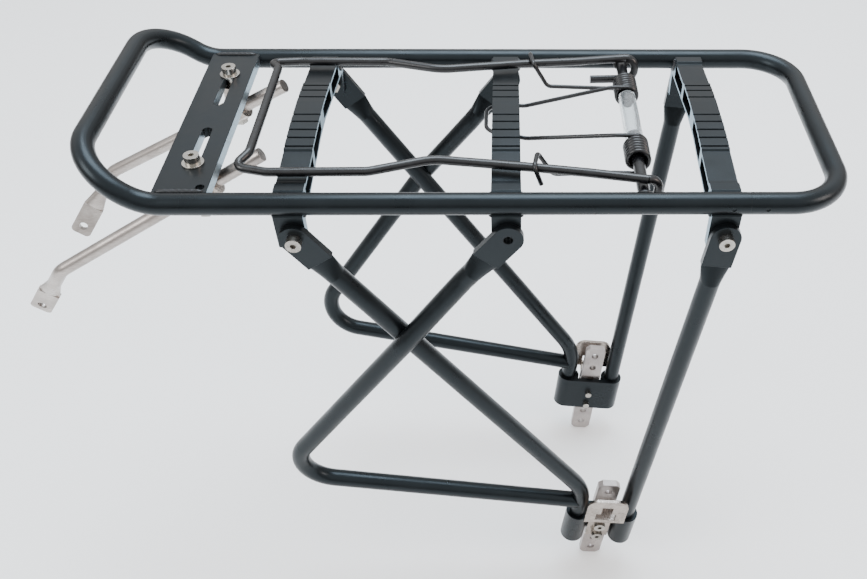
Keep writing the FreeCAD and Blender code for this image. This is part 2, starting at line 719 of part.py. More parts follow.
def tee_plate(side, word):
    """Joggled plate with a T cut-out, held by the foot screws."""
    name = "tee_" + word
    thick = S["tee_thick"]
    base = S["tee_base"]
    wide = S["tee_wide"]
    head = box(name + "_head", (-wide / 2, between(side, tee_out, tee_out + thick), base),
               (wide, thick, S["tee_high"]))
    shelf = box(name + "_shelf", (-S["tee_tab"] / 2, between(side, strip_face, tee_out + thick), base),
                (S["tee_tab"], tee_out + thick - strip_face, thick))
    tab_low = FOOT_SCREWS[1] - 4
    tab = box(name + "_tab", (-S["tee_tab"] / 2, between(side, strip_face, tee_face), tab_low),
              (S["tee_tab"], thick, base + thick - tab_low))
    cuts = [
        box(name + "_stem", (-4, -30, base + 11), (8, 60, 8.4)),
        box(name + "_bar", (-7.5, -30, base + thick + 1), (15, 60, 7.6)),
    ]
    for index, height in enumerate(FOOT_SCREWS):
        cuts.append(rod("%s_hole_%d" % (name, index), (0, -20, height), "y", passage_r, 40))
    blank = fuse(name + "_blank", [head, shelf, tab])
    shape = cut(name, blank, fuse(name + "_cuts", cuts))
    doc.recompute()
    picks = []
    for index, edge in enumerate(shape.Shape.Edges):
        middle = edge.CenterOfMass
        straight = abs(edge.tangentAt(edge.FirstParameter).y) > 0.99
        high = middle.z > float(base + S["tee_high"]) - 0.01
        if straight and high and abs(abs(middle.x) - float(wide) / 2) < 0.01:
            picks.append((index + 1, 8.0, 8.0))
    soft = doc.addObject("Part::Fillet", name + "_soft")
    soft.Base = shape
    soft.Edges = picks
    soft.Placement = foot_frame(side)
    return name_node(soft, "t_slot_plate_" + word)


def cap_screw(name, length):
    """Socket-head screw: head above the origin, thread below it, along Z."""
    head = rod(name + "_head", (0, 0, 0), "z", S["cap_dia"] / 2, S["cap_high"])
    thread = rod(name + "_thread", (0, 0, -float(length)), "z", screw_r, float(length))
    body = fuse(name + "_blank", [head, thread])
    hexagon = doc.addObject("Part::Prism", name + "_hex")
    hexagon.Polygon = 6
    drive(hexagon, "Circumradius", S["hex_wide"] / math.sqrt(3))
    hexagon.Height = 6
    hexagon.Placement = Placement(vec(0, 0, S["cap_high"] - 2.5), Rotation())
    return cut(name, body, hexagon)


def hex_nut(name, bore_r=None):
    """Nut below the origin, along Z."""
    block = doc.addObject("Part::Prism", name + "_hex")
    block.Polygon = 6
    drive(block, "Circumradius", S["nut_wide"] / math.sqrt(3))
    drive(block, "Height", S["nut_high"])
    block.Placement = Placement(vec(0, 0, -S["nut_high"]), Rotation())
    hole = rod(name + "_bore", (0, 0, -10), "z", screw_r, 20)
    return cut(name, block, hole)


foot_screws = []
leg_screws = []
leg_nuts = []
ear_back = {}
for side, word in ((-1, "left"), (1, "right")):
    bracket(side, word)
    strip(side, word)
    tee_plate(side, word)
    outward = Rotation(Vector(1, 0, 0), -90 * side)
    for index, height in enumerate(FOOT_SCREWS):
        screw = cap_screw("foot_screw_%s_%d" % (word, index), 15)
        screw.Placement = foot_frame(side).multiply(Placement(vec(0, side * tee_face, height), outward))
        foot_screws.append(screw)
    for index, x in enumerate((LEG_X[0], LEG_X[2])):
        screw = cap_screw("leg_screw_%s_%d" % (word, index), 16)
        face = side * S["head_thick"] / 2
        screw.Placement = leg_frame(side).multiply(Placement(vec(x, face, 0), outward))
        leg_screws.append(screw)
        nut = hex_nut("leg_nut_%s_%d" % (word, index))
        back = -side * (S["head_thick"] / 2 + 5.8)
        nut.Placement = leg_frame(side).multiply(Placement(vec(x, back, 0), outward))
        leg_nuts.append(nut)
group("foot_screws", foot_screws)
group("leg_screws", leg_screws)
group("leg_nuts", leg_nuts)

# ---------------------------------------------------------------- stays and their clamps
slope = math.radians(float(S["rod_slope"]))
toe = math.radians(float(S["rod_toe"]))
rod_r = S["rod_dia"] / 2


def stay_frame(side):
    """The stay's axis: X runs forward and down along the rod from beside the slot screw."""
    forward = Vector(-math.cos(slope) * math.cos(toe), side * math.sin(toe) * math.cos(slope), -math.sin(slope))
    sideways = Vector(0, side, 0)
    up = forward.cross(sideways).normalize()
    if up.z < 0:
        up = -up
    across = up.cross(forward)
    turn = Rotation(forward, across, up, "XZY")
    return Placement(vec(plate_mid, side * S["rod_spread"], -S["rod_drop"]), turn)


for side, word in ((-1, "left"), (1, "right")):
    frame = stay_frame(side)
    origin = frame.Base
    forward = frame.Rotation.multVec(Vector(1, 0, 0))
    # the rod, bent a little near its flattened end
    tail = origin - forward * float(S["rod_back"])
    bend = origin + forward * float(S["rod_ahead"])
    tip_way = Vector(-26.0, -side * 11.0, -35.0).normalize()
    flat_long = float(S["rod_tip_long"])
    neck = bend + tip_way * 18
    rod_shape = bent_bar("stay_rod_" + word, [tail, bend, neck], [14.0], rod_r)
    flat = flat_long - 23
    hole_at = flat + 5.5
    wide = S["rod_tip_wide"]
    thick = S["rod_tip_thick"]
    oval = doc.addObject("Part::Ellipse", "stay_oval_" + word)
    drive(oval, "MajorRadius", wide / 2)
    drive(oval, "MinorRadius", thick / 2)
    oval.Placement = Placement(Vector(0, 0, 12), Rotation())
    circle = doc.addObject("Part::Circle", "stay_circle_" + word)
    drive(circle, "Radius", rod_r)
    taper = doc.addObject("Part::Loft", "stay_taper_" + word)
    taper.Sections = [circle, oval]
    taper.Solid = True
    taper.Ruled = True
    blade = box("stay_blade_" + word, (-wide / 2, -thick / 2, 12), (wide, thick, flat))
    doc.recompute()
    corners = []
    for index, edge in enumerate(blade.Shape.Edges):
        if abs(edge.tangentAt(edge.FirstParameter).y) > 0.99 and edge.CenterOfMass.z > 13:
            corners.append((index + 1, 3.0, 3.0))
    squared = doc.addObject("Part::Fillet", "stay_squared_" + word)
    squared.Base = blade
    squared.Edges = corners
    tip = fuse("stay_tip_" + word, [taper, squared])
    hole = rod("stay_hole_" + word, (0, -10, hole_at), "y", S["hole_dia"] / 2, 20)
    drilled = cut("stay_end_" + word, tip, hole)
    flat_normal = Vector(0, 1, 0)
    flat_normal = (flat_normal - tip_way * flat_normal.dot(tip_way)).normalize()
    side_way = flat_normal.cross(tip_way)
    drilled.Placement = Placement(neck, Rotation(side_way, flat_normal, tip_way, "ZYX"))
    name_node(fuse("stay_" + word, [rod_shape, drilled]), "strut_" + word)

    # the clamp: a boss round the slot screw and an eye round the stay
    screw_y = side * S["clamp_out"]
    plate_under = S["plate_top"] - S["plate_thick"]
    boss_top = plate_under - S["clamp_gap"]
    boss = rod("clamp_boss_" + word, (plate_mid, screw_y, -S["boss_low"]), "z",
               S["boss_dia"] / 2, boss_top + S["boss_low"])
    eye = doc.addObject("Part::Cylinder", "clamp_eye_" + word)
    drive(eye, "Radius", S["eye_dia"] / 2)
    drive(eye, "Height", S["eye_long"])
    along = Rotation(Vector(0, 0, 1), forward)
    eye.Placement = Placement(origin - forward * (float(S["eye_long"]) / 2), along)
    bore = doc.addObject("Part::Cylinder", "clamp_bore_" + word)
    drive(bore, "Radius", (S["rod_dia"] + S["rod_room"]) / 2)
    bore.Height = 80
    bore.Placement = Placement(origin - forward * 40, along)
    shaft = rod("clamp_shaft_" + word, (plate_mid, screw_y, -60), "z", screw_r + 0.05, 80)
    spot = rod("clamp_spot_" + word, (plate_mid, screw_y, -S["boss_low"] - 30), "z", S["nut_wide"] / 2 + 1, 30)
    name_node(cut("clamp_" + word, fuse("clamp_blank_" + word, [boss, eye]),
                  fuse("clamp_holes_" + word, [bore, shaft, spot])), "strut_clamp_" + word)

    # the slot screw, its washer and its nut
    washer_low = S["plate_top"] + 0.05
    washer_blank = rod("washer_disc_" + word, (plate_mid, screw_y, washer_low), "z",
                       S["washer_dia"] / 2, S["washer_thick"])
    washer_hole = rod("washer_hole_" + word, (plate_mid, screw_y, 0), "z", screw_r, 20)
    name_node(cut("washer_" + word, washer_blank, washer_hole), "clamp_washer_" + word)
    screw = cap_screw("slot_screw_" + word, 35)
    head_low = washer_low + S["washer_thick"]
    screw.Placement = Placement(vec(plate_mid, screw_y, head_low), Rotation())
    name_node(screw, "clamp_screw_" + word)
    nut = hex_nut("slot_nut_" + word)
    nut.Placement = Placement(vec(plate_mid, screw_y, -S["boss_low"] - 0.05), Rotation())
    name_node(nut, "clamp_nut_" + word)

# ---------------------------------------------------------------- spring clamp
axle = S["axle_back"]
axle_r = S["axle_dia"] / 2
coil_long = float(S["spring_pitch"]) * float(S["spring_turns"])
wire = float(S["spring_wire"])
coil_r = float(S["spring_mean"]) / 2
far_in = 31.0
near_in = -22.0
sleeve_far = far_in - wire / 2 - 0.2
sleeve_near = near_in + wire / 2 + 0.2
PIN_ENDS = {-1: -13.0, 1: 22.0}
for side, word in ((-1, "left"), (1, "right")):
    end = PIN_ENDS[side]
    low = end if side > 0 else -float(half_deck)
    long = float(half_deck) - abs(end)
    stub = rod("pin_blank_" + word, (axle, low, 0), "y", axle_r, long)
    seat = rod("pin_seat_" + word, (axle - 20, side * half_deck, 0), "x", tube_r, 40)
    name_node(cut("pin_" + word, stub, seat), "clip_pin_" + word)
sleeve_blank = rod("sleeve_blank", (axle, sleeve_near, 0), "y", S["sleeve_dia"] / 2, sleeve_far - sleeve_near)
sleeve_bore = rod("sleeve_bore", (axle, sleeve_near - 5, 0), "y",
                  (S["axle_dia"] + S["sleeve_room"]) / 2, sleeve_far - sleeve_near + 10)
name_node(cut("sleeve", sleeve_blank, sleeve_bore), "clip_sleeve")


def coil_points(inner, outward, start_angle):
    """Points of a coil that starts at its inner end; half a turn round from its start."""
    points = []
    steps = int(float(S["spring_turns"]) * 16)
    pitch = float(S["spring_pitch"])
    for index in range(steps + 1):
        share = index / 16.0
        angle = math.radians(start_angle) + 2 * math.pi * share
        y = inner + outward * pitch * share
        points.append(Vector(float(axle) + coil_r * math.cos(angle), y, -coil_r * math.sin(angle)))
    return points


def coil_arcs(points):
    """Short arcs through a coil's points, three at a time."""
    edges = []
    for index in range(0, len(points) - 2, 2):
        edges.append(Part.Arc(points[index], points[index + 1], points[index + 2]).toShape())
    return edges


# Both coils start on top of the axle, where the centre loop leaves them towards the front.
far_coil = coil_points(far_in, 1, -90.0)
near_coil = coil_points(near_in, -1, -90.0)
axle_x = float(axle)
loop_z = coil_r
loop_front = -12.0
far_leg = Vector(axle_x, far_in, loop_z)
near_leg = Vector(axle_x, near_in, loop_z)
ahead = Vector(-1, 0, 0)
loop_points = [
    far_leg,
    far_leg + ahead * 10,
    Vector(12.0, 33.7, -8.2),
    Vector(loop_front, 35.0, -8.5),
    Vector(loop_front, 6.0, -8.5),
    Vector(12.0, -2.8, -8.2),
    near_leg + ahead * 10,
    near_leg,
]
loop_edges = rounded_edges(loop_points, [18.0, 12.0, 9.0, 9.0, 12.0, 18.0])
spring_start = far_coil[-1]
edges = coil_arcs(list(reversed(far_coil))) + loop_edges + coil_arcs(near_coil)
heading = edges[0].tangentAt(edges[0].FirstParameter)
# A coil is no primitive and no sketch feature, so its solid is made in code from the sheet's wire size.
wire_ring = Part.Wire([Part.makeCircle(wire / 2, spring_start, heading)])
spring = doc.addObject("Part::Feature", "spring")
spring.Shape = Part.Wire(edges).makePipeShell([wire_ring], True, False)
name_node(spring, "clip_spring")

# Each outer end of the wire goes forward beside the coil and hooks over the bail.
for side, word in ((-1, "left"), (1, "right")):
    coil_end = far_coil[-1] if side > 0 else near_coil[-1]
    y = coil_end.y + side * (wire + 0.35)
    start = Vector(axle_x + 2.0, y, -coil_r)
    arm = [
        start,
        Vector(60.0, y, -5.6),
        Vector(26.0, side * 47.5, -2.5),
        Vector(17.0, side * 49.0, 12.3),
        Vector(15.0, side * 62.5, 12.6),
        Vector(19.0, side * 63.0, 1.5),
    ]
    name_node(bent_bar("arm_" + word, arm, [12.0, 5.0, 3.0, 3.0], S["spring_wire"] / 2), "spring_arm_" + word)

# The bail: an eye round each stub, side arms above the deck and a bowed front over the front bar.
bail_r = float(S["bail_wire"]) / 2
eye_r = float(axle_r) + float(S["bail_room"]) / 2 + bail_r
EYE_Y = 66.0
bail_top = 7.6


def bail_half(side):
    """Corner points of one side, from the axle eye to the front bend."""
    return [
        Vector(axle_x + 2.0, side * EYE_Y, eye_r + 0.9),
        Vector(44.0, side * 60.5, bail_top - 0.2),
        Vector(10.0, side * 56.0, bail_top + 0.6),
        Vector(-40.0, side * 49.0, bail_top + 0.6),
        Vector(-74.0, side * 59.5, bail_top),
        Vector(-128.0, side * 60.0, bail_top),
        Vector(-146.0, side * 56.5, bail_top + 1.0),
        Vector(-139.0, side * 46.0, bail_top + 3.2),
    ]


far_half = bail_half(1)
near_half = bail_half(-1)
bail_points = far_half + list(reversed(near_half))
half_bends = [40.0, 60.0, 30.0, 16.0, 16.0, 4.0, 8.0]
bail_bends = half_bends + list(reversed(half_bends))
bail_main = bent_bar("bail_main", bail_points, bail_bends, S["bail_wire"] / 2)
bail_parts = [bail_main]
for side, word in ((-1, "left"), (1, "right")):
    first = far_half[0] if side > 0 else near_half[0]
    # the wire wraps over, behind and under the stub, then ends in a short forward run
    ring_points = [
        first,
        Vector(axle_x + eye_r + 2.2, side * (EYE_Y - 0.6), eye_r + 0.9),
        Vector(axle_x + eye_r + 2.2, side * (EYE_Y - 1.2), -eye_r - 0.9),
        Vector(axle_x - 20.0, side * (EYE_Y - 2.2), -eye_r - 0.9),
    ]
    bail_parts.append(bent_bar("bail_eye_" + word, ring_points, [6.2, 6.2], S["bail_wire"] / 2))
stub_clear = rod("bail_clear", (axle, -half_deck, 0), "y", axle_r + S["bail_room"] / 2, S["deck_width"])
name_node(cut("bail", fuse("bail_joined", bail_parts), stub_clear), "clip_bail")

doc.recompute()
faults = [obj.Label for obj in doc.Objects if "Invalid" in obj.State or "Error" in obj.State]
if faults:
    raise RuntimeError("these do not build: %s" % ", ".join(faults))
os.makedirs("parts", exist_ok=True)
for node in NODES:
    if node.Shape.isNull() or not node.Shape.isValid():
        raise RuntimeError("%s has no valid shape" % node.Label)
    if not node.Shape.Solids:
        raise RuntimeError("%s has no solid" % node.Label)
    node.Shape.exportStep("parts/%s.step" % node.Label)
print("%d nodes" % len(NODES))
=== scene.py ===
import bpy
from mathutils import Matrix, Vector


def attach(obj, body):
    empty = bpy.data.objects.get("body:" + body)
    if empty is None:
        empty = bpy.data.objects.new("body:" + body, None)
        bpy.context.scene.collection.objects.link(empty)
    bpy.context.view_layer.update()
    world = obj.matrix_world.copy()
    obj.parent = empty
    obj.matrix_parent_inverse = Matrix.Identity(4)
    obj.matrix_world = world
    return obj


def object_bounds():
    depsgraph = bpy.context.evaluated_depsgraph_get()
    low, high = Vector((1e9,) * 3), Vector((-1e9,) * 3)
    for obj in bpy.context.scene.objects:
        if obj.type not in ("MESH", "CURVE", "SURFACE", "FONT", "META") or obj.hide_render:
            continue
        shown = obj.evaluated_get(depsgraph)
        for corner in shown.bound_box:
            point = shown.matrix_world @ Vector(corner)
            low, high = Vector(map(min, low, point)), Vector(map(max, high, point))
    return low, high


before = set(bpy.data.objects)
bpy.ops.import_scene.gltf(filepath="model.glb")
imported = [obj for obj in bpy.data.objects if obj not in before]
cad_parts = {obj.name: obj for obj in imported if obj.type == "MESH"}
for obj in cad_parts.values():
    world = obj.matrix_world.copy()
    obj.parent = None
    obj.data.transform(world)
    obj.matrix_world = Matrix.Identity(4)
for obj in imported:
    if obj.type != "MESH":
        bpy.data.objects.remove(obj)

"""Looks of a bicycle rear carrier: finishes, weld beads on the deck, floor, lights and camera."""

import logging
import math
from dataclasses import dataclass
from enum import Enum

import bmesh
import bpy
from mathutils import Matrix, Vector

CAD_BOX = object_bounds()
LOG = logging.getLogger("carrier")

# ---------------------------------------------------------------- sizes shared by several pieces, in metres
TUBE_RADIUS = 0.006
HALF_DECK = 0.078
MILLIMETRE = 0.001

# ---------------------------------------------------------------- sockets of the colour mix node, by index
MIX_FIRST = 6
MIX_SECOND = 7
MIX_RESULT = 2


class Side(Enum):
    """The bicycle's two sides, with the sign of their Y."""

    LEFT = -1
    RIGHT = 1

    @property
    def word(self) -> str:
        """The side's word in node names."""
        return self.name.lower()


class Slot(Enum):
    """The record's material slots."""

    BLACK = "black_anodised"
    RAW = "raw_aluminium"
    PLATED = "plated_steel"
    ZINC = "zinc_screws"
    WIRE = "black_wire"
    CLEAR = "clear_sleeve"


def linear(code: str) -> tuple[float, float, float, float]:
    """Turn a hex sRGB code into a linear colour.

    Args:
        code: six hex digits with a leading hash.

    Returns:
        Red, green, blue and an alpha of one.
    """
    parts = []
    for start in (1, 3, 5):
        share = int(code[start:start + 2], 16) / 255
        parts.append(share / 12.92 if share <= 0.04045 else ((share + 0.055) / 1.055) ** 2.4)
    return (parts[0], parts[1], parts[2], 1.0)


class NodeBench:
    """Builds one node material step by step."""

    def __init__(self, name: str) -> None:
        """Make an empty node material with a principled shader.

        Args:
            name: the material's name.
        """
        self.material = bpy.data.materials.new(name)
        self.material.use_nodes = True
        self.tree = self.material.node_tree
        self.tree.nodes.clear()
        self.shader = self.tree.nodes.new("ShaderNodeBsdfPrincipled")
        self.output = self.tree.nodes.new("ShaderNodeOutputMaterial")
        self.tree.links.new(self.shader.outputs["BSDF"], self.output.inputs["Surface"])
        self.coordinates = self.tree.nodes.new("ShaderNodeTexCoord")

    def set(self, **values: object) -> None:
        """Set constants on the principled shader; an underscore stands for a space.

        Args:
            values: socket names and their values.
        """
        for name, value in values.items():
            self.shader.inputs[name.replace("_", " ")].default_value = value

    def link(self, source: bpy.types.NodeSocket, socket: str) -> None:
        """Link a socket to one of the principled shader's inputs."""
        self.tree.links.new(source, self.shader.inputs[socket])

    def stretched(self, stretch: tuple[float, float, float]) -> bpy.types.NodeSocket:
        """Object coordinates stretched along the axes.

        Args:
            stretch: the scale along X, Y and Z.

        Returns:
            The mapped coordinates.
        """
        mapping = self.tree.nodes.new("ShaderNodeMapping")
        mapping.inputs["Scale"].default_value = stretch
        self.tree.links.new(self.coordinates.outputs["Object"], mapping.inputs["Vector"])
        return mapping.outputs["Vector"]

    def noise(self, scale: float, detail: float = 3.0,
              stretch: tuple[float, float, float] = (1.0, 1.0, 1.0)) -> bpy.types.NodeSocket:
        """A noise pattern in object coordinates.

        Args:
            scale: features per metre.
            detail: octaves of finer noise.
            stretch: the scale along X, Y and Z.

        Returns:
            The noise value, from nought to one.
        """
        node = self.tree.nodes.new("ShaderNodeTexNoise")
        node.inputs["Scale"].default_value = scale
        node.inputs["Detail"].default_value = detail
        self.tree.links.new(self.stretched(stretch), node.inputs["Vector"])
        return node.outputs["Fac"]

    def remap(self, value: bpy.types.NodeSocket, low: float, high: float,
              start: float = 0.0, end: float = 1.0) -> bpy.types.NodeSocket:
        """Map a value's span to another.

        Args:
            value: the value to map.
            low: the result at the start of the span.
            high: the result at its end.
            start: the start of the span.
            end: the end of the span.

        Returns:
            The mapped value.
        """
        node = self.tree.nodes.new("ShaderNodeMapRange")
        node.inputs["From Min"].default_value = start
        node.inputs["From Max"].default_value = end
        node.inputs["To Min"].default_value = low
        node.inputs["To Max"].default_value = high
        self.tree.links.new(value, node.inputs["Value"])
        return node.outputs["Result"]

    def blend(self, share: bpy.types.NodeSocket, first: object, second: object) -> bpy.types.NodeSocket:
        """Mix two colours.

        Args:
            share: how much of the second colour shows.
            first: a colour or a colour socket.
            second: a colour or a colour socket.

        Returns:
            The mixed colour.
        """
        node = self.tree.nodes.new("ShaderNodeMix")
        node.data_type = "RGBA"
        self.tree.links.new(share, node.inputs["Factor"])
        for index, value in ((MIX_FIRST, first), (MIX_SECOND, second)):
            if isinstance(value, bpy.types.NodeSocket):
                self.tree.links.new(value, node.inputs[index])
            else:
                node.inputs[index].default_value = value
        return node.outputs[MIX_RESULT]

    def arithmetic(self, operation: str, first: object, second: object = 0.0) -> bpy.types.NodeSocket:
        """One step of arithmetic.

        Args:
            operation: the maths node's operation.
            first: a value or a socket.
            second: a value or a socket.

        Returns:
            The result.
        """
        node = self.tree.nodes.new("ShaderNodeMath")
        node.operation = operation
        for index, value in ((0, first), (1, second)):
            if isinstance(value, bpy.types.NodeSocket):
                self.tree.links.new(value, node.inputs[index])
            else:
                node.inputs[index].default_value = value
        return node.outputs[0]

    def bump(self, height: bpy.types.NodeSocket, strength: float, depth: float,
             soft_edge: float = 0.0) -> None:
        """Raise the surface by a height pattern, over softened edges if asked.

        Args:
            height: the pattern.
            strength: how much of it shows.
            depth: the height in metres of its full range.
            soft_edge: radius in metres that sharp edges are softened by.
        """
        node = self.tree.nodes.new("ShaderNodeBump")
        node.inputs["Strength"].default_value = strength
        node.inputs["Distance"].default_value = depth
        self.tree.links.new(height, node.inputs["Height"])
        if soft_edge > 0:
            bevel = self.tree.nodes.new("ShaderNodeBevel")
            bevel.samples = 4
            bevel.inputs["Radius"].default_value = soft_edge
            self.tree.links.new(bevel.outputs["Normal"], node.inputs["Normal"])
        self.link(node.outputs["Normal"], "Normal")

    def facing_along(self, axis: str, edge: float = 0.95) -> bpy.types.NodeSocket:
        """One where a face looks along an axis of the object, nought elsewhere.

        Args:
            axis: X, Y or Z.
            edge: the cosine from which a face counts.

        Returns:
            The mask.
        """
        split = self.tree.nodes.new("ShaderNodeSeparateXYZ")
        self.tree.links.new(self.coordinates.outputs["Normal"], split.inputs["Vector"])
        size = self.arithmetic("ABSOLUTE", split.outputs[axis])
        return self.arithmetic("GREATER_THAN", size, edge)


@dataclass(frozen=True)
class AnodisedBlack:
    """Satin black anodised aluminium; sawn ends can be left bare."""

    name: str = "satin black anodised aluminium"
    dye: str = "#08090a"
    dye_worn: str = "#101214"
    sheen: str = "#b9ccd6"
    bare: str = "#c3c8cc"
    roughness: float = 0.3
    bare_ends: bool = False

    def make(self) -> bpy.types.Material:
        """Build the material: dyed oxide layer with faint drawing marks and a cool clear top."""
        bench = NodeBench(self.name)
        cloud = bench.noise(scale=55.0, detail=4.0)
        grain = bench.noise(scale=2600.0, detail=2.0)
        wear = bench.remap(cloud, 0.0, 0.55, 0.35, 0.8)
        colour = bench.blend(wear, linear(self.dye), linear(self.dye_worn))
        rough = bench.remap(cloud, self.roughness - 0.05, self.roughness + 0.09, 0.3, 0.7)
        bench.set(Specular_IOR_Level=0.42, Specular_Tint=linear(self.sheen), Coat_Weight=0.05,
                  Coat_Roughness=0.2, IOR=1.45)
        if self.bare_ends:
            mask = bench.facing_along("X")
            saw = bench.noise(scale=240.0, stretch=(1.0, 1.0, 9.0))
            silver = bench.blend(saw, linear(self.bare), linear("#8f979d"))
            colour = bench.blend(mask, colour, silver)
            bench.link(mask, "Metallic")
            rough = bench.arithmetic("ADD", rough, bench.arithmetic("MULTIPLY", mask, -0.04))
            grain = bench.arithmetic("ADD", grain, bench.arithmetic("MULTIPLY", mask, saw))
        bench.link(colour, "Base Color")
        bench.link(rough, "Roughness")
        bench.bump(grain, strength=0.10, depth=0.00004, soft_edge=0.0004)
        return bench.material


@dataclass(frozen=True)
class BareMetal:
    """Uncoated or plated metal with fine lines along one direction."""

    name: str
    bright: str = "#cfd2d4"
    dull: str = "#a3a5a6"
    roughness: float = 0.28
    lines: tuple[float, float, float] = (1.0, 12.0, 12.0)
    line_scale: float = 260.0
    soft_edge: float = 0.0004

    def make(self) -> bpy.types.Material:
        """Build the material: bright metal, a cloudy tone, drawn lines and small handling marks."""
        bench = NodeBench(self.name)
        cloud = bench.noise(scale=70.0)
        drawn = bench.noise(self.line_scale, 3.0, self.lines)
        marks = bench.noise(scale=900.0, detail=2.0)
        tone = bench.arithmetic("ADD", bench.arithmetic("MULTIPLY", cloud, 0.6),
                                bench.arithmetic("MULTIPLY", drawn, 0.4))
        colour = bench.blend(bench.remap(tone, 0.0, 1.0, 0.35, 0.68), linear(self.bright), linear(self.dull))
        bench.link(colour, "Base Color")
        bench.set(Metallic=1.0)
        bench.link(bench.remap(tone, self.roughness - 0.07, self.roughness + 0.1, 0.35, 0.68), "Roughness")
        height = bench.arithmetic("ADD", bench.arithmetic("MULTIPLY", drawn, 0.7),
                                  bench.arithmetic("MULTIPLY", marks, 0.3))
        bench.bump(height, strength=0.16, depth=0.00006, soft_edge=self.soft_edge)
        return bench.material


@dataclass(frozen=True)
class CoatedWire:
    """Black coated spring wire with worn high spots."""

    name: str = "black coated spring wire"
    coat: str = "#08080a"
    worn: str = "#17181a"

    def make(self) -> bpy.types.Material:
        """Build the material: thin black coat, mottled gloss and faint drawing marks."""
        bench = NodeBench(self.name)
        cloud = bench.noise(scale=160.0, detail=4.0)
        grain = bench.noise(scale=3200.0, detail=2.0)
        wear = bench.remap(cloud, 0.0, 0.6, 0.45, 0.75)
        bench.link(bench.blend(wear, linear(self.coat), linear(self.worn)), "Base Color")
        bench.link(bench.remap(cloud, 0.22, 0.36, 0.3, 0.7), "Roughness")
        bench.set(Specular_IOR_Level=0.5, Coat_Weight=0.1, Coat_Roughness=0.15, IOR=1.45)
        bench.bump(grain, strength=0.12, depth=0.00004)
        return bench.material


@dataclass(frozen=True)
class ClearVinyl:
    """Clear flexible plastic tube, a little hazy."""

    name: str = "clear vinyl tube"
    tint: str = "#e9eef0"

    def make(self) -> bpy.types.Material:
        """Build the material: clear plastic with cloudy haze and fine rubbing."""
        bench = NodeBench(self.name)
        haze = bench.noise(scale=220.0, stretch=(1.0, 0.3, 1.0))
        bench.set(Base_Color=linear(self.tint), Transmission_Weight=0.93, IOR=1.42, Specular_IOR_Level=0.55)
        bench.link(bench.remap(haze, 0.04, 0.2, 0.35, 0.7), "Roughness")
        bench.bump(haze, strength=0.08, depth=0.0001)
        return bench.material


@dataclass(frozen=True)
class WeldMetal:
    """Anodised weld bead, darker and rougher than the tube."""

    name: str = "black anodised weld metal"

    def make(self) -> bpy.types.Material:
        """Build the material: uneven dark oxide with a pebbled surface."""
        bench = NodeBench(self.name)
        lumps = bench.noise(scale=900.0, detail=4.0)
        bench.link(bench.blend(lumps, linear("#08090a"), linear("#191b1e")), "Base Color")
        bench.link(bench.remap(lumps, 0.28, 0.5, 0.3, 0.7), "Roughness")
        bench.set(Specular_IOR_Level=0.45, IOR=1.45, Coat_Weight=0.05, Coat_Roughness=0.25)
        bench.bump(lumps, strength=0.3, depth=0.0002)
        return bench.material


@dataclass(frozen=True)
class PaleFloor:
    """Matt pale studio floor."""

    name: str = "matt pale studio floor"

    def make(self) -> bpy.types.Material:
        """Build the material: almost white, with a barely seen mottle."""
        bench = NodeBench(self.name)
        cloud = bench.noise(scale=3.0)
        bench.link(bench.blend(cloud, linear("#f4f4f3"), linear("#fafafa")), "Base Color")
        bench.set(Roughness=0.85, Specular_IOR_Level=0.2)
        return bench.material


class Finishes:
    """Every finish of the carrier, made once."""

    def __init__(self) -> None:
        """Make all materials."""
        self.tube = AnodisedBlack().make()
        self.bar = AnodisedBlack(name="black anodised extrusion with bare sawn ends", bare_ends=True,
                                 roughness=0.34).make()
        self.rod = BareMetal("drawn bare aluminium rod", bright="#b3aca6", dull="#8f8782", roughness=0.33,
                             line_scale=200.0, lines=(0.6, 9.0, 9.0)).make()
        self.strip = BareMetal("rolled bare aluminium strip", bright="#b4adaa", dull="#938c89",
                               roughness=0.33, lines=(12.0, 12.0, 0.8)).make()
        self.plated = BareMetal("bright plated pressed steel", bright="#b3aaa2", dull="#857d76",
                                roughness=0.24, lines=(2.0, 2.0, 2.0)).make()
        self.zinc = BareMetal("zinc plated screw steel", bright="#bdb9b2", dull="#7f7b75",
                              roughness=0.26, lines=(3.0, 3.0, 3.0), line_scale=500.0,
                              soft_edge=0.0003).make()
        self.wire = CoatedWire().make()
        self.clear = ClearVinyl().make()
        self.weld = WeldMetal().make()
        self.floor = PaleFloor().make()


def dress(node: str, material: bpy.types.Material) -> None:
    """Give a carried-over CAD node its detailed material.

    Args:
        node: the node's name.
        material: the finish.
    """
    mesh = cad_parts[node].data
    mesh.materials.clear()
    mesh.materials.append(material)


def add_piece(name: str, mesh: bmesh.types.BMesh, material: bpy.types.Material, body: str) -> bpy.types.Object:
    """Turn mesh code into a piece that rides on a body.

    Args:
        name: the piece's name.
        mesh: the finished mesh.
        material: its finish.
        body: the body it rides on.

    Returns:
        The new object.
    """
    bmesh.ops.recalc_face_normals(mesh, faces=mesh.faces)
    data = bpy.data.meshes.new(name)
    mesh.to_mesh(data)
    mesh.free()
    for polygon in data.polygons:
        polygon.use_smooth = True
    data.materials.append(material)
    piece = bpy.data.objects.new(name, data)
    bpy.context.scene.collection.objects.link(piece)
    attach(piece, body)
    LOG.info("%s: %d faces on %s", name, len(data.polygons), body)
    return piece


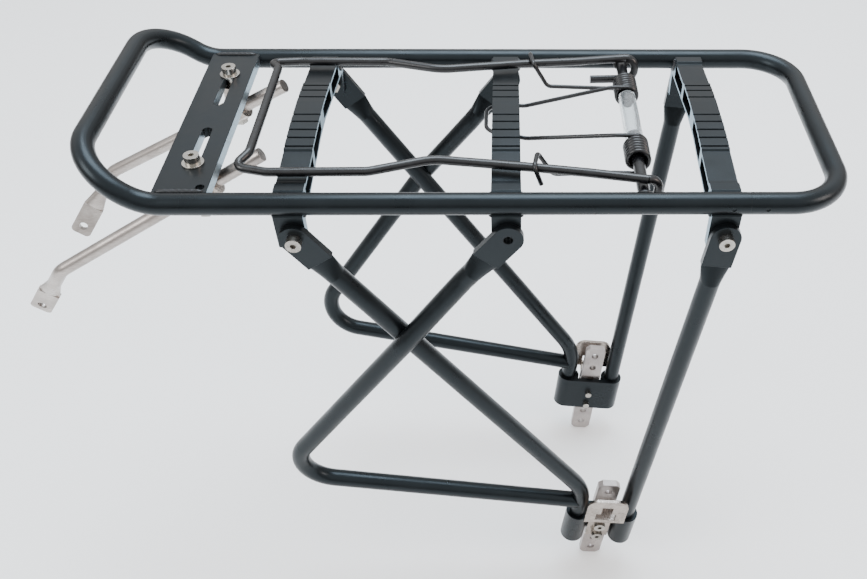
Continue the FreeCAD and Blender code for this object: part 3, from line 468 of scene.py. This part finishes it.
def skin_path(mesh: bmesh.types.BMesh, points: list[Vector], radii: list[float], around: int = 10) -> None:
    """Add a closed round skin along a path.

    Args:
        mesh: the mesh that grows.
        points: the path.
        radii: the radius at each point.
        around: vertices in each ring.
    """
    rings = []
    aside = Vector((0.0, 0.0, 1.0))
    for index, point in enumerate(points):
        ahead = (points[min(index + 1, len(points) - 1)] - points[max(index - 1, 0)]).normalized()
        if abs(ahead.dot(aside)) > 0.95:
            aside = Vector((0.0, 1.0, 0.0))
        across = ahead.cross(aside).normalized()
        up = across.cross(ahead)
        ring = []
        for step in range(around):
            angle = 2 * math.pi * step / around
            outward = across * math.cos(angle) + up * math.sin(angle)
            ring.append(mesh.verts.new(point + outward * radii[index]))
        rings.append(ring)
    for first, second in zip(rings, rings[1:]):
        for step in range(around):
            following = (step + 1) % around
            mesh.faces.new((first[step], first[following], second[following], second[step]))
    mesh.faces.new(list(reversed(rings[0])))
    mesh.faces.new(rings[-1])


@dataclass
class WeldBeads:
    """Rippled fillet beads where the cross-bars, front plate and axle stubs meet the side tubes."""

    finishes: Finishes
    bead_radius: float = 0.0013
    ripple_pitch: float = 0.0014
    ripple_height: float = 0.16
    end_size: float = 0.45
    end_growth: float = 0.2
    proud: float = 0.0003
    bars: tuple[float, ...] = (-0.115, 0.0, 0.117)
    bar_half: float = 0.008
    bar_sweep: tuple[float, float] = (30.0, -118.0)
    plate: tuple[float, float] = (-0.184, -0.159)
    plate_sweep: tuple[float, float] = (42.0, -6.0)
    seam_inboard: float = 0.0043
    seam_height: float = 0.0049
    axle: float = 0.074
    stub_reach: float = 0.0036
    stub_sunk: float = 0.0002
    stub_steps: int = 32
    degrees_a_step: float = 4.0
    fewest_steps: int = 8

    def bead(self, mesh: bmesh.types.BMesh, points: list[Vector]) -> None:
        """Add one bead with its overlapping drops.

        Args:
            mesh: the mesh that grows.
            points: the bead's line, a fraction of a millimetre to a millimetre apart.
        """
        run = 0.0
        radii = []
        for index, point in enumerate(points):
            if index:
                run += (point - points[index - 1]).length
            from_end = min(index, len(points) - 1 - index)
            fade = min(1.0, self.end_size + from_end * self.end_growth)
            drop = 1.0 + self.ripple_height * abs(math.sin(math.pi * run / self.ripple_pitch))
            radii.append(self.bead_radius * fade * drop)
        skin_path(mesh, points, radii)

    def around_tube(self, x: float, side: int, sweep: tuple[float, float]) -> list[Vector]:
        """Points round a side tube, a little proud of its skin.

        Args:
            x: place along the deck.
            side: the sign of Y.
            sweep: start and end angle in degrees; nought points inboard and ninety up.

        Returns:
            The bead's points.
        """
        points = []
        first, last = sweep
        reach = TUBE_RADIUS + self.proud
        count = max(self.fewest_steps, int(abs(last - first) / self.degrees_a_step))
        for index in range(count + 1):
            angle = math.radians(first + (last - first) * index / count)
            points.append(Vector((x, side * (HALF_DECK - reach * math.cos(angle)), reach * math.sin(angle))))
        return points

    def plate_seam(self, side: int) -> list[Vector]:
        """Points along the joint of the front plate and a side tube, a millimetre apart.

        Args:
            side: the sign of Y.

        Returns:
            The bead's points.
        """
        front, rear = self.plate
        y = side * (HALF_DECK - self.seam_inboard)
        count = round((rear - front) / MILLIMETRE)
        return [Vector((front + index * MILLIMETRE, y, self.seam_height)) for index in range(count + 1)]

    def around_stub(self, side: int) -> list[Vector]:
        """Points round an axle stub, on the inboard skin of its side tube.

        Args:
            side: the sign of Y.

        Returns:
            The bead's points.
        """
        points = []
        for index in range(self.stub_steps + 1):
            angle = 2 * math.pi * index / self.stub_steps
            z = self.stub_reach * math.sin(angle)
            y = HALF_DECK - math.sqrt(TUBE_RADIUS ** 2 - z * z) - self.stub_sunk
            points.append(Vector((self.axle + self.stub_reach * math.cos(angle), side * y, z)))
        return points

    def build(self) -> None:
        """Make every bead of the deck as one piece."""
        deck = bmesh.new()
        for side in Side:
            for bar in self.bars:
                for face in (-1, 1):
                    self.bead(deck, self.around_tube(bar + face * self.bar_half, side.value, self.bar_sweep))
            for end in self.plate:
                self.bead(deck, self.around_tube(end, side.value, self.plate_sweep))
            self.bead(deck, self.plate_seam(side.value))
            self.bead(deck, self.around_stub(side.value))
        add_piece("deck_weld_beads", deck, self.finishes.weld, "frame")


@dataclass
class StudioFloor:
    """Plain pale floor under the carrier."""

    finishes: Finishes
    half: float = 3.0
    drop: float = 0.0005

    def build(self) -> None:
        """Make the floor just below the lowest foot."""
        mesh = bmesh.new()
        bmesh.ops.create_grid(mesh, x_segments=1, y_segments=1, size=self.half)
        bmesh.ops.translate(mesh, verts=mesh.verts, vec=Vector((0.0, 0.0, CAD_BOX[0].z - self.drop)))
        data = bpy.data.meshes.new("studio_floor")
        mesh.to_mesh(data)
        mesh.free()
        data.materials.append(self.finishes.floor)
        floor = bpy.data.objects.new("studio_floor", data)
        bpy.context.scene.collection.objects.link(floor)
        LOG.info("studio_floor")


@dataclass(frozen=True)
class SoftPanel:
    """One square soft light: place in metres, power in watts."""

    name: str
    place: tuple[float, float, float]
    size: float
    power: float
    colour: str

    def hang(self, aim: Vector) -> None:
        """Make the light and point it.

        Args:
            aim: what it points at.
        """
        light = bpy.data.lights.new(self.name, "AREA")
        light.shape = "SQUARE"
        light.size = self.size
        light.energy = self.power
        light.color = linear(self.colour)[:3]
        lamp = bpy.data.objects.new(self.name, light)
        lamp.location = self.place
        lamp.rotation_mode = "QUATERNION"
        lamp.rotation_quaternion = (aim - Vector(self.place)).to_track_quat("-Z", "Y")
        bpy.context.scene.collection.objects.link(lamp)


@dataclass
class StudioLight:
    """Soft panels and a surround that darkens towards the horizon."""

    aim: tuple[float, float, float] = (0.0, 0.0, -0.1)
    panels: tuple[SoftPanel, ...] = (
        SoftPanel("top_panel", (0.1, 0.5, 1.6), 1.1, 46.0, "#e4f2ff"),
        SoftPanel("left_panel", (-1.3, -0.7, 0.9), 0.8, 14.0, "#ffffff"),
        SoftPanel("right_panel", (1.4, -0.5, 0.7), 0.6, 9.0, "#ffe6da"),
    )
    high_surround: str = "#f4f6f8"
    low_surround: str = "#6f6a67"
    low_height: float = -0.05
    high_height: float = 0.55
    surround_power: float = 1.7

    def surround(self) -> bpy.types.World:
        """Make the surround, which blends from its low colour to its high one.

        Returns:
            The world.
        """
        world = bpy.data.worlds.new("pale surround")
        world.use_nodes = True
        tree = world.node_tree
        back = tree.nodes["Background"]
        aim = tree.nodes.new("ShaderNodeTexCoord")
        split = tree.nodes.new("ShaderNodeSeparateXYZ")
        rise = tree.nodes.new("ShaderNodeMapRange")
        mix = tree.nodes.new("ShaderNodeMix")
        mix.data_type = "RGBA"
        rise.inputs["From Min"].default_value = self.low_height
        rise.inputs["From Max"].default_value = self.high_height
        tree.links.new(aim.outputs["Generated"], split.inputs["Vector"])
        tree.links.new(split.outputs["Z"], rise.inputs["Value"])
        tree.links.new(rise.outputs["Result"], mix.inputs["Factor"])
        mix.inputs[MIX_FIRST].default_value = linear(self.low_surround)
        mix.inputs[MIX_SECOND].default_value = linear(self.high_surround)
        tree.links.new(mix.outputs[MIX_RESULT], back.inputs["Color"])
        back.inputs["Strength"].default_value = self.surround_power
        return world

    def build(self) -> None:
        """Hang the panels and set the surround."""
        for panel in self.panels:
            panel.hang(Vector(self.aim))
        bpy.context.scene.world = self.surround()
        LOG.info("studio light")


@dataclass
class StudioCamera:
    """The camera: heading, tilt and roll in degrees, place in metres, lens in millimetres."""

    heading: float = 1.5183
    tilt: float = 44.4962
    roll: float = 0.8197
    place: tuple[float, float, float] = (0.000707, -0.477077, 0.295859)
    focal: float = 38.69938
    sensor: float = 36.0
    shift: tuple[float, float] = (-0.10631, 0.05106)

    def build(self) -> None:
        """Make the camera and make it the scene's own."""
        heading = math.radians(self.heading)
        tilt = math.radians(self.tilt)
        roll = math.radians(self.roll)
        level_ahead = Vector((math.sin(heading), math.cos(heading), 0.0))
        ahead = level_ahead * math.cos(tilt) - Vector((0.0, 0.0, math.sin(tilt)))
        level = Vector((math.cos(heading), -math.sin(heading), 0.0))
        upright = level.cross(ahead)
        right = level * math.cos(roll) + upright * math.sin(roll)
        up = upright * math.cos(roll) - level * math.sin(roll)
        turn = Matrix((right, up, -ahead)).transposed()
        lens = bpy.data.cameras.new("studio_camera")
        lens.lens = self.focal
        lens.sensor_width = self.sensor
        lens.shift_x = self.shift[0]
        lens.shift_y = self.shift[1]
        lens.clip_start = 0.01
        lens.clip_end = 20.0
        camera = bpy.data.objects.new("studio_camera", lens)
        camera.rotation_mode = "QUATERNION"
        camera.location = self.place
        camera.rotation_quaternion = turn.to_quaternion()
        bpy.context.scene.collection.objects.link(camera)
        bpy.context.scene.camera = camera
        LOG.info("studio camera")


@dataclass
class CarrierFinish:
    """Dresses every carried-over node."""

    finishes: Finishes

    def build(self) -> None:
        """Give each node its finish."""
        made = self.finishes
        for node in ("deck_front_tube", "deck_rear_tube"):
            dress(node, made.tube)
        for node in ("front_crossbar", "middle_crossbar", "rear_crossbar", "front_plate"):
            dress(node, made.bar)
        dress("deck_joint_ferrules", made.strip)
        dress("clip_sleeve", made.clear)
        dress("clip_spring", made.wire)
        dress("clip_bail", made.wire)
        for node in ("foot_screws", "leg_screws", "leg_nuts"):
            dress(node, made.zinc)
        for side in Side:
            word = side.word
            for stem in ("rear_leg_", "front_leg_", "middle_leg_", "foot_bracket_"):
                dress(stem + word, made.tube)
            for stem in ("clamp_screw_", "clamp_washer_", "clamp_nut_"):
                dress(stem + word, made.zinc)
            for stem in ("t_slot_plate_", "strut_clamp_"):
                dress(stem + word, made.plated)
            dress("clip_pin_" + word, made.wire)
            dress("foot_strip_" + word, made.strip)
            dress("strut_" + word, made.rod)
            dress("spring_arm_" + word, made.wire)
        LOG.info("nodes dressed")


def main() -> None:
    """Build the finishes, the pieces and the studio in order."""
    logging.basicConfig(level=logging.INFO, format="%(name)s: %(message)s")
    StudioCamera().build()
    finishes = Finishes()
    CarrierFinish(finishes).build()
    WeldBeads(finishes).build()
    StudioFloor(finishes).build()
    StudioLight().build()


if __name__ == "__main__":
    main()
